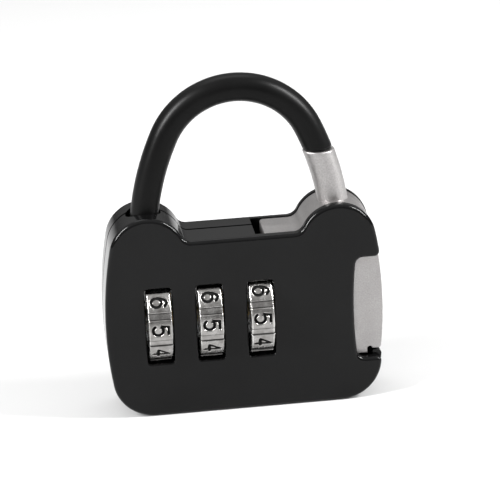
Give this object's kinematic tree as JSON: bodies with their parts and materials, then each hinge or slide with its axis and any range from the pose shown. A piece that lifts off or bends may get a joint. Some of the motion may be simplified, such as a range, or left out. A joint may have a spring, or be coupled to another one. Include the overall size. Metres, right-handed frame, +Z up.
{
  "type": "combination padlock",
  "caption": "Small bag-shaped combination padlock: black casing, round hinged bow, side latch that slides, and number wheels that turn in windows.",
  "frame": {"origin": "on the plane that the lock stands on, under the middle of its bounding box", "axes": "+X from the bow's hinge side to the latch side, +Y from the face to the back, +Z up along the lock's height"},
  "size_m": [0.046, 0.015, 0.0565],
  "materials": {
    "casing_paint": "black satin-gloss paint on cast zinc",
    "bow_paint": "black satin paint on a round bar",
    "latch_silver": "fine-grained silver finish on cast zinc",
    "wheel_metal": "silver cast wheel with sunk black digits",
    "pin_steel": "plain turned steel",
    "rivet_steel": "steel, darkened",
    "spring_steel": "spring steel",
    "comb_zinc": "cast zinc, plain",
    "cam_brass": "turned brass"
  },
  "bodies": {
    "casing": {"front_cover": "casing_paint", "rear_cover": "casing_paint", "cover_rivets": "rivet_steel", "bow_pivot_pin": "pin_steel", "latch_guide_pins": "pin_steel", "latch_return_spring": "spring_steel", "bow_spring": "spring_steel", "wheel_axle": "pin_steel", "axle_clips": "spring_steel", "clutch_spring": "spring_steel", "detent_spring": "spring_steel"},
    "bow": {"shackle_bow": "bow_paint", "bow_tip_pin": "pin_steel"},
    "latch": {"latch_slider": "latch_silver", "locking_comb": "comb_zinc", "comb_rivets": "rivet_steel"},
    "wheel_1": {"number_wheel_1": "wheel_metal", "cam_sleeve_1": "cam_brass"},
    "wheel_2": {"number_wheel_2": "wheel_metal", "cam_sleeve_2": "cam_brass"},
    "wheel_3": {"number_wheel_3": "wheel_metal", "cam_sleeve_3": "cam_brass"}
  },
  "joints": [
    {"name": "bow_swing", "type": "hinge", "parent": "casing", "child": "bow", "pos_m": [-0.01573, 0, 0.0306], "axis": [0, -1, 0], "range_deg": [0, 10], "deforming": ["bow_spring"]},
    {"name": "latch_slide", "type": "slide", "parent": "casing", "child": "latch", "axis": [-1, 0, 0], "range_m": [0, 0.001], "deforming": ["latch_return_spring"]},
    {"name": "wheel_1_turn", "type": "hinge", "parent": "casing", "child": "wheel_1", "pos_m": [-0.01425, 0, 0.01595], "axis": [1, 0, 0], "continuous": true},
    {"name": "wheel_2_turn", "type": "hinge", "parent": "casing", "child": "wheel_2", "pos_m": [-0.0059, 0, 0.01595], "axis": [1, 0, 0], "continuous": true},
    {"name": "wheel_3_turn", "type": "hinge", "parent": "casing", "child": "wheel_3", "pos_m": [0.00245, 0, 0.01595], "axis": [1, 0, 0], "continuous": true}
  ]
}
